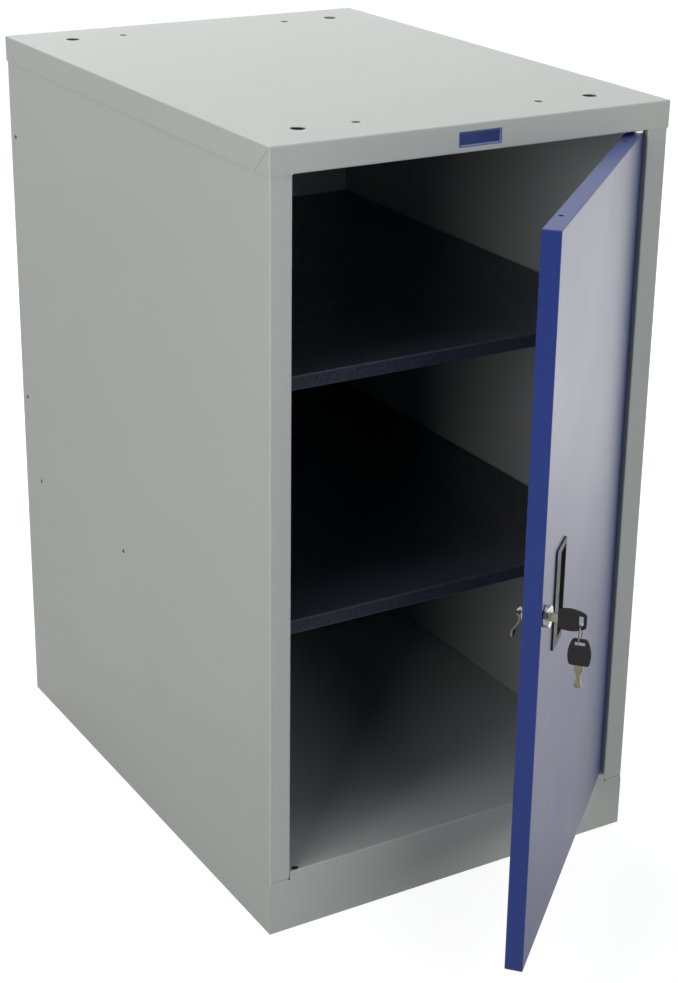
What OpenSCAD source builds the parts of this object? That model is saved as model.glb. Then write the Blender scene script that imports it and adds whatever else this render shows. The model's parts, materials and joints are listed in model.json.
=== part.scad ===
// Tool cabinet for use under a workbench: a folded steel case with one hinged door, two shelves,
// a cam lock and its keys. Millimetres. The ground is at z = 0, the front looks along -Y.

/* [Cabinet] */
// Width over the top panel
cabinet_w = 457; // [430:1:600]
// Depth over the top panel
cabinet_d = 632; // [580:1:700]
// Height from the ground to the top
cabinet_h = 835; // [790:1:900]
// Thickness of every steel sheet
sheet = 1; // [0.8:0.1:1.2]
// Outside radius of every bend
bend_r = 1.5; // [1.4:0.1:2.5]
// Gap between sheets that are welded or riveted together
seam = 0.1; // [0.05:0.05:0.2]

/* [Top panel] */
// Height of the skirt
skirt_h = 28; // [26:1:40]
// Width of the slit between a corner tab and the side skirt
slit_w = 0.3; // [0.2:0.1:0.6]
// Depth of the return under the front skirt
return_d = 20; // [18:1:22]
// Height of the lip behind that return
return_lip = 10; // [5:1:15]
// Diameter of the large bolt holes
bolt_d = 15; // [9:0.5:17]
// Spacing of the large bolt holes across the top
bolt_x = 337; // [300:1:360]
// Spacing of all bolt holes from front to back
bolt_y = 522; // [400:1:530]
// Diameter of the small bolt holes
small_bolt_d = 9; // [5:0.5:11]
// Spacing of the small bolt holes across the top
small_bolt_x = 211; // [150:1:260]

/* [Badge plate] */
// Width of the badge plate
badge_w = 49; // [30:1:80]
// Height of the badge plate
badge_h = 15; // [10:1:16]
// Height of its middle above the skirt's lower edge
badge_rise = 13; // [12:0.5:15]
// Width of its raised rim
badge_rim = 1.4; // [1:0.1:2]
// Depth of the panel inside the rim
badge_sink = 0.7; // [0.3:0.1:0.9]
// Width of the flange behind the skirt that holds it
badge_flange = 2; // [1:0.5:3]

/* [Side panels] */
// Distance from the cabinet's side to the door opening
stile_w = 25; // [23:1:34]
// Depth of the stile's return beside the door
stile_return = 18; // [15:1:20]
// Distance from the floor down to the stile's foot
stile_drop = 7; // [5:1:12]
// Size of the slope at the outer corner of the stile's foot
stile_slope = 4; // [2:1:6]
// Size of the relief notch beside the stile's foot
relief = 2; // [1:0.5:3]
// Width of the flange under each side panel
foot_flange = 15; // [10:1:25]
// Width of the joint between a stile's foot and the plinth
foot_joint = 0.4; // [0.2:0.1:0.8]
// Length of the pressed groove inside the right side panel
groove_len = 30; // [15:1:50]
// Height of that groove
groove_h = 2; // [1.5:0.5:4]
// Depth of that groove
groove_t = 0.6; // [0.3:0.1:0.6]
// Distance from the front to the middle of that groove
groove_back = 167; // [100:1:250]
// Height of that groove above the ground
groove_z = 710; // [650:1:740]

/* [Back panel] */
// Depth of its returns along the side panels
back_return = 150; // [80:1:160]

/* [Floor and plinth] */
// Height of the floor above the ground
floor_z = 69; // [60:1:100]
// Height of the flanges under the floor's edges
floor_flange = 20; // [10:1:30]
// Depth of the flange at the plinth's foot
plinth_flange = 15; // [10:1:25]

/* [Shelves] */
// Height of the upper shelf's top
upper_shelf_z = 604; // [560:1:650]
// Height of the lower shelf's top
lower_shelf_z = 345; // [320:1:370]
// Height of a shelf's folded edge
shelf_edge = 15; // [12:1:20]
// Distance from the cabinet's front to the shelves
shelf_back = 24; // [23:1:40]
// Gap around a shelf
shelf_gap = 1.1; // [0.5:0.1:2]
// Depth of the lips under a shelf's front and rear edges
shelf_lip = 12; // [6:1:20]
// Width of the ledge of a shelf support
ledge_w = 14; // [10:1:20]
// Height of a shelf support on the wall
support_h = 40; // [35:1:50]
// Distance from a support's end to the shelf's front or to the back panel's return
support_in = 10; // [5:1:20]

/* [Rivets] */
// Diameter of a rivet's shank
rivet_d = 3.2; // [2.4:0.2:4]
// Diameter of a rivet's heads
rivet_head_d = 5; // [4.8:0.2:6.4]
// Height of a rivet's heads
rivet_head_h = 0.6; // [0.3:0.1:0.9]
// Gap around a rivet's shank
rivet_fit = 0.1; // [0.05:0.05:0.2]
// Distance from the back to the high and middle rivets
rivet_back = 16; // [10:1:25]
// Height of the high rivets
rivet_high_z = 721; // [700:1:740]
// Height of the middle rivets
rivet_mid_z = 402; // [395:1:440]
// Distance from the back to the low rivets
rivet_low_back = 49; // [35:1:65]
// Distance from the front to the rivets in the lower supports
rivet_support_y = 346; // [250:1:370]
// Distance from the lower ledges down to the rivets there
rivet_drop = 27; // [20:1:30]

/* [Door] */
// Angle at which the door stands open
door_open = 42.1; // [0:0.1:110]
// Thickness of the door
door_t = 18; // [17:0.5:20]
// Distance from the cabinet's front to the shut door's face
door_set = 1.5; // [1.2:0.1:2]
// Gap beside the hinges
hinge_gap = 4; // [3.5:0.5:6]
// Gap beside the lock
lock_gap = 3; // [2:0.5:5]
// Gap above the door
top_gap = 3; // [2:0.5:5]
// Gap below the door
foot_gap = 2; // [1.5:0.5:4]
// Width of the lips behind the door
door_lip = 12; // [8:1:20]
// Diameter of the two drain holes in the door's top
drain_d = 5; // [3:0.5:7]
// Distance from the door's ends to those holes
drain_in = 48; // [40:1:80]
// Distance from the door's face to those holes
drain_back = 11; // [9:0.5:12]

/* [Hinges] */
// Diameter of a hinge pin
pin_d = 6; // [5:0.5:6]
// Distance from the door's hinge edge to the pins
pin_in = 4.5; // [4.3:0.1:5]
// Distance from the door's face to the pins
pin_back = 5; // [4.5:0.1:6]
// Length of a pin outside the door
pin_out = 7; // [7:0.5:9]
// Length of a pin inside the door
pin_inside = 10; // [6:1:14]
// Gap around a pin in its bush
running_fit = 0.05; // [0.03:0.01:0.1]
// Gap between the door and a bush
end_play = 0.3; // [0.2:0.05:0.4]
// Wall of a bush
bush_wall = 0.95; // [0.8:0.05:1.2]
// Length of a bush beyond its sheet
bush_out = 1.5; // [1:0.5:2]
// Gap around a bush in its hole
bush_fit = 0.1; // [0.05:0.05:0.2]
// Width of a bush's flange
bush_flange = 0.6; // [0.4:0.1:0.8]
// Thickness of a pin's bracket
bracket_t = 2; // [1.5:0.5:3]
// Width of a pin's bracket
bracket_w = 24; // [14:1:30]
// Length of the bracket's leg beside the door's edge
bracket_leg = 20; // [12:1:30]

/* [Handle] */
// Width of the handle's bezel
handle_w = 41; // [36:1:50]
// Height of the bezel
handle_h = 102; // [90:1:120]
// Distance from the door's free edge to the bezel
handle_in = 55; // [45:1:90]
// Height of the handle's middle above the ground
handle_z = 439; // [400:1:500]
// Distance that the bezel stands out of the door
bezel_out = 1.5; // [1:0.1:2]
// Thickness of the bezel and the grip plate
bezel_t = 2.5; // [2.2:0.1:3]
// Radius of the bezel's corners
bezel_r = 4; // [2:0.5:6]
// Width of the grip plate on the side of the free edge
grip_w = 16.5; // [12:0.5:18]
// Height of the bezel above and below the opening
bezel_end = 7; // [4:0.5:10]
// Width of the bezel beside the opening
bezel_side = 2.5; // [2.2:0.1:4]
// Distance from the bezel's edge to the cup
cup_in = 2; // [1.5:0.1:2]
// Depth of the cup behind the door's face
cup_d = 15.5; // [12:0.5:16]
// Wall of the cup
cup_wall = 1.5; // [1:0.1:1.8]
// Gap around the cup in the door
cup_fit = 0.2; // [0.1:0.05:0.3]
// Width of a snap hook
hook_w = 10; // [6:1:14]
// Distance that a snap hook stands out of the cup
hook_out = 1; // [0.6:0.1:1.3]

/* [Lock] */
// Distance from the door's free edge to the lock
lock_in = 13.5; // [13:0.5:16]
// Height of the lock above the ground
lock_z = 444.5; // [435:0.5:460]
// Diameter of the lock's collar
collar_d = 21; // [20:0.5:23]
// Distance that the collar stands out of the door
collar_out = 6; // [5:0.5:8]
// Diameter of the lock's barrel
barrel_d = 16; // [15.5:0.5:16.5]
// Width over the barrel's flats
flats_w = 14; // [13.5:0.5:14.5]
// Length of the barrel behind the door
barrel_out = 2.5; // [2:0.5:4]
// Gap around the barrel and around the screw
lock_fit = 0.1; // [0.05:0.05:0.2]
// Diameter of the plug
plug_d = 11; // [10:0.5:11.5]
// Diameter of the plug's head
plug_head_d = 13.2; // [12.4:0.1:13.6]
// Length of the plug's head
plug_head_h = 3; // [2:0.5:3.5]
// Width over the flats of the nut
nut_w = 20; // [19:0.5:21]
// Thickness of the nut
nut_t = 4; // [3:0.5:5]
// Height of the gap in the door's lip behind the lock
notch_h = 30; // [22:1:40]

/* [Cam and keeper] */
// Width of the cam
cam_w = 13; // [11:0.5:15]
// Thickness of the cam
cam_t = 2; // [1.5:0.1:2.5]
// Reach of the cam from the lock's axis
cam_reach = 23.5; // [22:0.5:28]
// Distance from the axis to the cam's first bend
cam_flat = 6; // [5.5:0.5:7]
// Distance from the axis to the cam's second bend
cam_slope = 16.5; // [14:0.5:17]
// Depth of the cam's crank
cam_crank = 6.3; // [5:0.1:7]
// Width of the square on which the cam sits
square_w = 6.4; // [6:0.1:7]
// Diameter of the cam screw's shank
screw_d = 4; // [3:0.5:4]
// Length of that shank
screw_len = 8; // [6:0.5:8]
// Diameter of that screw's head
screw_head_d = 8.4; // [8:0.2:10]
// Thickness of that head
screw_head_h = 2.2; // [1.8:0.2:3]
// Thickness of the keeper
keeper_t = 2; // [1.5:0.5:2.5]
// Width of the keeper's face
keeper_w = 15; // [12:0.5:16]
// Height of the keeper
keeper_h = 44; // [30:1:56]
// Gap between the shut cam and the keeper
keeper_play = 0.5; // [0.3:0.1:1]

/* [Keys] */
// Length of a key's blade
blade_len = 22.5; // [20:0.5:24]
// Thickness of the blade
blade_t = 2; // [1.6:0.1:2.2]
// Width of the blade's shoulder
shoulder_w = 8.6; // [8:0.1:9.5]
// Length of that shoulder
shoulder_len = 6.2; // [5:0.1:7]
// Width of the blade where it enters the lock
blade_w = 6.8; // [6:0.1:7.2]
// Length of the tang inside the bow
tang_len = 10; // [6:0.5:12]
// Width of the tang
tang_w = 6; // [4:0.5:7]
// Thickness of the tang
tang_t = 1.2; // [0.8:0.1:1.4]
// Gap around the blade in the lock and around the tang in the bow
key_fit = 0.1; // [0.05:0.01:0.15]
// Length of the bow
bow_len = 26.5; // [24:0.5:30]
// Greatest width of the bow
bow_w = 21.7; // [20:0.1:24]
// Distance from the blade to the bow's widest place
bow_wide_at = 11; // [8:0.5:13]
// Loss of half width at the blade's end of the bow
bow_taper_in = 1.7; // [0.5:0.1:2]
// Loss of half width at the far end of the bow
bow_taper_out = 4.2; // [2:0.1:4.5]
// Radius of the bow's corners
bow_r = 2; // [1:0.5:3]
// Thickness of the bow
bow_t = 2.6; // [2.4:0.1:3]
// Width of the slot in the bow
bow_slot_w = 9.8; // [9:0.1:10.5]
// Height of that slot along the key
bow_slot_h = 4; // [3.6:0.1:5]
// Width of the bow's strip beyond the slot
bow_strip = 3.1; // [2.2:0.1:3.4]
// Outside diameter of the key ring
ring_d = 19; // [18.5:0.5:24]
// Diameter of the ring's wire
wire_d = 1.2; // [1:0.1:1.4]
// Gap between the ring and the keys
ring_play = 0.3; // [0.2:0.05:0.4]

/* [Hidden] */
$fn = 48;

// Colours
case_grey = "#b0b5b3";
door_blue = "#27397c";
shelf_navy = "#161b26";
nylon_white = "#e6e3da";
black_plastic = "#141414";
bright_metal = "#c9cacc";
pale_brass = "#b9ae8c";

// Number of short faces in a bend, and a length that cuts well past any sheet
bend_steps = 5;
past = 5;

// Outer faces of the case inside the skirt, and the inner faces of its walls; the case's top
// and the side panels' rear edges stop short of the rounded inside of the skirt's bends
side_x = cabinet_w / 2 - sheet - seam;
wall_x = side_x - sheet;
front_y = -cabinet_d / 2 + sheet + seam;
back_y = cabinet_d / 2 - sheet - seam;
wall_end_y = back_y - bend_r;
case_top = cabinet_h - bend_r - seam;
skirt_z = cabinet_h - skirt_h;

// The sheets that stand just inside the walls, and the room left between them
lining_x = wall_x - seam;
room_x = lining_x - sheet;
back_front_y = back_y - back_return;

// The door opening
opening_x = cabinet_w / 2 - stile_w;
stile_end_y = front_y + stile_return;
stile_foot = floor_z - stile_drop;

// The shelves
shelf_w = 2 * (room_x - shelf_gap);
shelf_y = -cabinet_d / 2 + shelf_back;
shelf_d = back_y - sheet - shelf_gap - shelf_y;
support_y = shelf_y + support_in;
support_len = back_front_y - support_in - support_y;
lower_rivet_z = lower_shelf_z - shelf_edge - rivet_drop;

// The door, measured from the hinge axis
pin_x = opening_x - hinge_gap - pin_in;
pin_y = -cabinet_d / 2 + door_set + pin_back;
door_w = 2 * opening_x - hinge_gap - lock_gap;
door_foot = floor_z + foot_gap;
door_top = skirt_z - top_gap;
door_h = door_top - door_foot;
free_x = pin_in - door_w;
bush_r = pin_d / 2 + running_fit + bush_wall;
bush_hole_r = bush_r + bush_fit;

// The lock, measured outwards from the door's face
plug_end = -(door_t + barrel_out + end_play);
cam_end = plug_end - cam_t;
cam_drop = cam_crank - plug_end;
key_z = collar_out + shoulder_len + key_fit;

// The keys
slot_mid = bow_len - bow_strip - bow_slot_h / 2;
slot_edge = bow_half(slot_mid) - bow_slot_w / 2;
strip_y = -(bow_slot_w + slot_edge) / 2;
ring_r = (ring_d - wire_d) / 2;
ring_lift = norm([slot_edge, bow_t]) / 2 + wire_d / 2 + ring_play / 3;
ring_y = strip_y + ring_lift - ring_r;
spare_y = ring_y - ring_r + wire_d / 2 + ring_play + bow_strip - bow_len;

// Points on an arc about c
function arc(c, r, from, to) = r == 0 ? [c] : [
    for (k = [0:bend_steps])
        c + r * [cos(from + (to - from) * k / bend_steps), sin(from + (to - from) * k / bend_steps)]
];

// Rectangle that stands on the X axis, with one radius for its upper and one for its lower corners
function round_rect(w, h, top_r, foot_r) = concat(
    arc([w / 2 - top_r, h - top_r], top_r, 0, 90),
    arc([top_r - w / 2, h - top_r], top_r, 90, 180),
    arc([foot_r - w / 2, foot_r], foot_r, 180, 270),
    arc([w / 2 - foot_r, foot_r], foot_r, 270, 360)
);

function unit(v) = v / norm(v);
function left(v) = [-v.y, v.x];
function turned(v, a) = [v.x * cos(a) - v.y * sin(a), v.x * sin(a) + v.y * cos(a)];

// One bend of a folded sheet, off being the distance from the drawn line to the left
function fold_bend(a, v, b, off) = let (
    d = unit(v - a),
    e = unit(b - v),
    turn = atan2(cross(d, e), d * e),
    side = sign(turn),
    line_r = side > 0 ? bend_r : bend_r - sheet,
    centre = v - d * line_r * tan(abs(turn) / 2) + side * left(d) * line_r
) [for (k = [0:bend_steps]) centre - side * (line_r - side * off) * turned(left(d), turn * k / bend_steps)];

// One face of a folded sheet
function fold_face(path, off) = [
    for (i = [0:len(path) - 1]) each
        i == 0 ? [path[0] + off * left(unit(path[1] - path[0]))]
        : i == len(path) - 1 ? [path[i] + off * left(unit(path[i] - path[i - 1]))]
        : fold_bend(path[i - 1], path[i], path[i + 1], off)
];

// Section of a folded sheet that lies on the left of the drawn line
function folded(path) = let (far = fold_face(path, sheet))
    concat(fold_face(path, 0), [for (i = [1:len(far)]) far[len(far) - i]]);

// Extrusions across the cabinet and from front to back, centred
module across(length) rotate([90, 0, 90]) linear_extrude(length, center = true) children();
module fore_aft(length) rotate([90, 0, 0]) linear_extrude(length, center = true) children();

module on_both_sides() for (s = [0, 1]) mirror([s, 0, 0]) children();

// Block that stands on z = 0 with rounded edges
module soft_block(size, r, foot_r) intersection() {
    linear_extrude(size.z) translate([0, -size.y / 2]) polygon(round_rect(size.x, size.y, r, r));
    fore_aft(size.y) polygon(round_rect(size.x, size.z, r, foot_r));
    across(size.x) polygon(round_rect(size.y, size.z, r, foot_r));
}

// Holes for the bushes, as used on the right and spare on the left
module bush_holes(z) on_both_sides() translate([pin_x, pin_y, z - past])
    cylinder(r = bush_hole_r, h = 2 * past);

// Rivet places on the left wall, each as distance from the front and height
back_rivets = [
    [cabinet_d - rivet_back, rivet_high_z],
    [cabinet_d - rivet_back, rivet_mid_z],
    [cabinet_d - rivet_low_back, lower_rivet_z]
];
support_rivet = [rivet_support_y, lower_rivet_z];

module at_rivet(place) translate([-side_x, place.x - cabinet_d / 2, place.y]) rotate([0, 90, 0]) children();

module rivet_hole(place) at_rivet(place)
    translate([0, 0, -past]) cylinder(d = rivet_d + 2 * rivet_fit, h = 3 * past);

// Top panel: a tray turned upside down

module corner_slit() {
    long = skirt_h * sqrt(2);
    translate([cabinet_w / 2 - sheet - seam, -cabinet_d / 2, cabinet_h])
        rotate([45, 0, 0])
        translate([0, -slit_w / 2, -long - past])
        cube([sheet + 2 * seam, slit_w, long + past - 2 * bend_r]);
}

module bolt_holes(spacing, d) for (x = [-1, 1], y = [-1, 1])
    translate([x * spacing / 2, y * bolt_y / 2, cabinet_h - past]) cylinder(d = d, h = 2 * past);

module front_return() {
    front = -cabinet_d / 2;
    across(2 * (opening_x - seam)) polygon(folded([
        [front, skirt_z + 2 * bend_r],
        [front, skirt_z],
        [front + return_d, skirt_z],
        [front + return_d, skirt_z + return_lip]
    ]));
}

module badge_window(grow) translate([0, -cabinet_d / 2, skirt_z + badge_rise])
    cube([badge_w + 2 * grow, past, badge_h + 2 * grow], center = true);

module top_panel() color(case_grey) difference() {
    union() {
        difference() {
            translate([0, 0, skirt_z]) soft_block([cabinet_w, cabinet_d, skirt_h], bend_r, 0);
            translate([0, 0, skirt_z - past]) soft_block(
                [cabinet_w - 2 * sheet, cabinet_d - 2 * sheet, skirt_h + past - sheet], bend_r - sheet, 0);
            translate([0, -cabinet_d / 2, skirt_z])
                cube([2 * (opening_x - seam), 2 * past, 4 * bend_r], center = true);
        }
        front_return();
    }
    bolt_holes(bolt_x, bolt_d);
    bolt_holes(small_bolt_x, small_bolt_d);
    bush_holes(skirt_z);
    badge_window(seam);
    on_both_sides() for (s = [0, 1]) mirror([0, s, 0]) corner_slit();
}

// Side panels with the stiles at the front

module side_wall() {
    translate([-side_x, front_y, 0]) cube([sheet, wall_end_y - front_y, stile_foot + past]);
    translate([-side_x, front_y + sheet + seam, 0])
        cube([sheet + foot_flange, wall_end_y - front_y - sheet - seam, sheet]);
}

// Edge of the stile's foot, seen from the front; lift moves it up
function foot_line(lift) = [
    [-side_x - past, stile_foot - stile_slope - past + lift],
    [-side_x + stile_slope, stile_foot + lift],
    [-opening_x + past, stile_foot + lift]
];

module stile_and_wall() difference() {
    linear_extrude(case_top) polygon(folded([
        [-side_x, wall_end_y],
        [-side_x, front_y],
        [-opening_x, front_y],
        [-opening_x, stile_end_y]
    ]));
    translate([0, stile_end_y - stile_return, 0]) fore_aft(2 * (stile_return + seam)) polygon(concat(
        foot_line(0),
        [[-opening_x + past, -past], [-side_x - past, -past]]
    ));
}

module side_panel() difference() {
    union() {
        stile_and_wall();
        intersection() {
            side_wall();
            // The flat wall below the slope of the stile's foot
            fore_aft(2 * cabinet_d) polygon([
                [-side_x - past, -past],
                [-side_x - past, stile_foot - stile_slope - past],
                [-side_x, stile_foot - stile_slope],
                [-side_x + sheet, stile_foot - stile_slope + sheet],
                [0, stile_foot - stile_slope + sheet],
                [0, -past]
            ]);
        }
    }
    for (place = back_rivets) rivet_hole(place);
    rivet_hole(support_rivet);
}

module left_side_panel() color(case_grey) side_panel();

module right_side_panel() color(case_grey) difference() {
    mirror([1, 0, 0]) side_panel();
    translate([wall_x, groove_back - cabinet_d / 2, groove_z])
        cube([2 * groove_t, groove_len, groove_h], center = true);
}

// Back panel: its returns stand on the floor, its middle goes down to the side panels' flanges

module back_panel() color(case_grey) difference() {
    union() {
        translate([0, 0, floor_z + seam]) linear_extrude(case_top - floor_z - seam) polygon(folded([
            [lining_x, back_front_y],
            [lining_x, back_y],
            [-lining_x, back_y],
            [-lining_x, back_front_y]
        ]));
        translate([-lining_x, back_y - sheet, sheet + seam])
            cube([2 * lining_x, sheet, floor_z + bend_r - sheet]);
    }
    on_both_sides() for (place = back_rivets) rivet_hole(place);
}

// Floor and plinth from one sheet

module plinth_ear() {
    edge = opening_x - seam;
    translate([0, front_y + sheet / 2, 0]) fore_aft(sheet) difference() {
        polygon([
            [-lining_x, 0],
            [-edge, 0],
            [-edge, stile_foot - foot_joint],
            [-side_x + stile_slope, stile_foot - foot_joint],
            [-lining_x, stile_foot - foot_joint - stile_slope + (side_x - lining_x)]
        ]);
        translate([-edge - relief, stile_foot - foot_joint - relief]) square([relief, 2 * relief]);
    }
}

module floor_and_plinth() color(case_grey) difference() {
    floor_front = stile_end_y + seam;
    floor_back = back_y - sheet - seam;
    flange_z = floor_z - floor_flange;
    union() {
        across(2 * (opening_x - seam)) polygon(folded([
            [floor_front + sheet, floor_z],
            [front_y, floor_z],
            [front_y, 2 * sheet]
        ]));
        translate([-(wall_x - foot_flange - seam), front_y, 0])
            cube([2 * (wall_x - foot_flange - seam), plinth_flange, sheet]);
        translate([-lining_x, front_y, 0]) cube([2 * lining_x, sheet, 3 * sheet]);
        on_both_sides() plinth_ear();
        translate([-lining_x, floor_front, floor_z - sheet])
            cube([2 * lining_x, floor_back - floor_front, sheet]);
        on_both_sides() translate([-lining_x, floor_front, flange_z])
            cube([sheet, floor_back - floor_front, floor_flange]);
        translate([-lining_x, floor_back - sheet, flange_z]) cube([2 * lining_x, sheet, floor_flange]);
    }
    bush_holes(floor_z);
}

// Shelves: folded trays turned upside down, with a lip under the front and rear edges

module shelf(top_z) color(shelf_navy)
    translate([0, shelf_y + shelf_d / 2, top_z - shelf_edge]) difference() {
        soft_block([shelf_w, shelf_d, shelf_edge], bend_r, bend_r);
        translate([0, 0, sheet]) soft_block(
            [shelf_w - 2 * sheet, shelf_d - 2 * sheet, shelf_edge - 2 * sheet],
            bend_r - sheet, bend_r - sheet);
        cube([shelf_w - 2 * sheet, shelf_d - 2 * shelf_lip, shelf_edge], center = true);
    }

module upper_shelf() shelf(upper_shelf_z);
module lower_shelf() shelf(lower_shelf_z);

// Left shelf support: an angle along the wall
module shelf_support(top_z) {
    ledge_z = top_z - shelf_edge;
    translate([0, support_y + support_len / 2, 0]) fore_aft(support_len) polygon(folded([
        [-lining_x + ledge_w, ledge_z],
        [-lining_x, ledge_z],
        [-lining_x, ledge_z - support_h]
    ]));
}

module upper_left_shelf_support() color(case_grey) shelf_support(upper_shelf_z);
module upper_right_shelf_support() color(case_grey) mirror([1, 0, 0]) shelf_support(upper_shelf_z);

module lower_left_shelf_support() color(case_grey) difference() {
    shelf_support(lower_shelf_z);
    rivet_hole(support_rivet);
}

module lower_right_shelf_support() color(case_grey) mirror([1, 0, 0]) difference() {
    shelf_support(lower_shelf_z);
    rivet_hole(support_rivet);
}

module rivet() {
    grip = 2 * sheet + seam;
    translate([0, 0, -rivet_head_h]) cylinder(d = rivet_head_d, h = rivet_head_h);
    translate([0, 0, -rivet_head_h]) cylinder(d = rivet_d, h = grip + 2 * rivet_head_h);
    translate([0, 0, grip]) cylinder(d = rivet_head_d, h = rivet_head_h);
}

module side_rivets() color(bright_metal) on_both_sides() {
    for (place = back_rivets) at_rivet(place) rivet();
    at_rivet(support_rivet) rivet();
}

// Badge plate: bare, with a raised rim
module badge_plate() color(door_blue)
    translate([0, -cabinet_d / 2, skirt_z + badge_rise]) rotate([90, 0, 0]) difference() {
        union() {
            translate([-badge_w / 2, -badge_h / 2, -sheet]) cube([badge_w, badge_h, sheet]);
            translate([-badge_w / 2 - badge_flange, -badge_h / 2 - badge_flange, -2 * sheet - seam])
                cube([badge_w + 2 * badge_flange, badge_h + 2 * badge_flange, sheet]);
            translate([-badge_w / 2, -badge_h / 2, -2 * sheet]) cube([badge_w, badge_h, sheet]);
        }
        translate([-badge_w / 2 + badge_rim, -badge_h / 2 + badge_rim, -badge_sink])
            cube([badge_w - 2 * badge_rim, badge_h - 2 * badge_rim, past]);
    }

// Keeper behind the left stile, which the turned cam goes behind
module lock_keeper() color(case_grey) {
    keeper_back_y = pin_y - pin_back + cam_drop - keeper_play;
    keeper_front_y = front_y + 2 * bend_r;
    translate([-opening_x - sheet, 0, lock_z - keeper_h / 2]) {
        translate([-keeper_t, keeper_front_y, 0])
            cube([keeper_t, keeper_back_y - keeper_front_y, keeper_h]);
        translate([-keeper_w, keeper_back_y - keeper_t, 0]) cube([keeper_w, keeper_t, keeper_h]);
    }
}

// Hinge bush with its flange on z = 0 and its barrel going down through a sheet
module bush(gap) difference() {
    union() {
        cylinder(r = bush_r + bush_flange, h = gap - end_play);
        translate([0, 0, -sheet - bush_out]) cylinder(r = bush_r, h = sheet + bush_out + 1);
    }
    translate([0, 0, -2 * past]) cylinder(r = pin_d / 2 + running_fit, h = 4 * past);
}

module lower_hinge_bush() color(nylon_white) translate([pin_x, pin_y, floor_z]) bush(foot_gap);
module upper_hinge_bush() color(nylon_white)
    translate([pin_x, pin_y, skirt_z]) mirror([0, 0, 1]) bush(top_gap);

// Places the door's pieces, drawn shut about the hinge axis, at the angle where the door stands
module at_door() translate([pin_x, pin_y, 0]) rotate([0, 0, door_open]) children();

// A place on the door's face: Z points out of the door, Y up and X towards the hinges
module at_face(from_free_edge, z)
    at_door() translate([free_x + from_free_edge, -pin_back, z]) rotate([90, 0, 0]) children();

module at_handle() at_face(handle_in + handle_w / 2, handle_z) children();
module at_lock() at_face(lock_in, lock_z) children();

module plate(w, h, r) translate([0, -h / 2]) polygon(round_rect(w, h, r, r));

module flatted(r, w) intersection() {
    circle(r = r);
    square([w, 2 * r + 1], center = true);
}

// Block of the door's outline, made smaller on every side by inset
module door_block(inset, r)
    translate([pin_in - door_w / 2, door_t / 2 - pin_back, door_foot + inset])
        soft_block([door_w - 2 * inset, door_t - 2 * inset, door_h - 2 * inset], r, r);

// Door panel: a shallow tray, open behind between its lips
module door_panel() color(door_blue) difference() {
    at_door() difference() {
        door_block(0, bend_r);
        door_block(sheet, bend_r - sheet);
        translate([free_x + door_lip, door_t / 2 - pin_back, door_foot + door_lip])
            cube([door_w - 2 * door_lip, door_t, door_h - 2 * door_lip]);
        for (x = [pin_in - drain_in, free_x + drain_in])
            translate([x, drain_back - pin_back, door_top - past]) cylinder(d = drain_d, h = 2 * past);
    }
    at_door() for (z = [door_foot, door_top])
        translate([0, 0, z - past]) cylinder(r = pin_d / 2 + cup_fit, h = 2 * past);
    at_handle() translate([0, 0, -past])
        linear_extrude(2 * past) plate(
            handle_w - 2 * (cup_in - cup_fit), handle_h - 2 * (cup_in - cup_fit), bezel_r - cup_in + cup_fit);
    at_lock() translate([0, 0, -past])
        linear_extrude(2 * past) flatted(barrel_d / 2 + lock_fit, flats_w + 2 * lock_fit);
    at_lock() translate([bend_r - lock_in, -notch_h / 2, -door_t - past])
        cube([door_lip, notch_h, door_t / 2 + past]);
}

// Hinge pin on its angle bracket in the door's corner; up is 1 at the top of the door and -1 at its foot
module hinge_pin(end, up) {
    under = sheet + seam;
    translate([0, 0, end + up * (pin_out - pin_inside) / 2])
        cylinder(d = pin_d, h = pin_inside + pin_out, center = true);
    intersection() {
        door_block(under, bend_r - sheet);
        union() {
            translate([pin_in - under - bracket_w / 2, 0, end - up * (under + bracket_t / 2)])
                cube([bracket_w, 3 * door_t, bracket_t], center = true);
            translate([pin_in - under - bracket_t / 2, 0, end - up * (under + bracket_leg / 2)])
                cube([bracket_t, 3 * door_t, bracket_leg], center = true);
        }
    }
}

module upper_hinge_pin() color(bright_metal) at_door() hinge_pin(door_top, 1);
module lower_hinge_pin() color(bright_metal) at_door() hinge_pin(door_foot, -1);

// Recessed handle: a cup behind a bezel, whose grip plate covers the side of the free edge
module recess_handle() color(black_plastic) at_handle() {
    cup_w = handle_w - 2 * cup_in;
    cup_h = handle_h - 2 * cup_in;
    cup_r = bezel_r - cup_in;
    bezel_back = bezel_out - bezel_t;
    open_w = handle_w - grip_w - bezel_side;
    open_h = handle_h - 2 * bezel_end;
    open_x = (grip_w - bezel_side) / 2;
    difference() {
        union() {
            linear_extrude(bezel_out) plate(handle_w, handle_h, bezel_r);
            translate([0, 0, -cup_d]) linear_extrude(cup_d + bezel_out / 2) plate(cup_w, cup_h, cup_r);
            for (s = [-1, 1]) translate([0, s * cup_h / 2, -sheet - 2 * seam - hook_out])
                cube([hook_w, 2 * hook_out, 2 * hook_out], center = true);
        }
        translate([0, 0, cup_wall - cup_d]) linear_extrude(cup_d - cup_wall + bezel_back)
            plate(cup_w - 2 * cup_wall, cup_h - 2 * cup_wall, cup_r);
        translate([open_x, 0, bezel_back - seam]) linear_extrude(bezel_t + past)
            plate(open_w, open_h, bezel_r / 2);
    }
}

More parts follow.
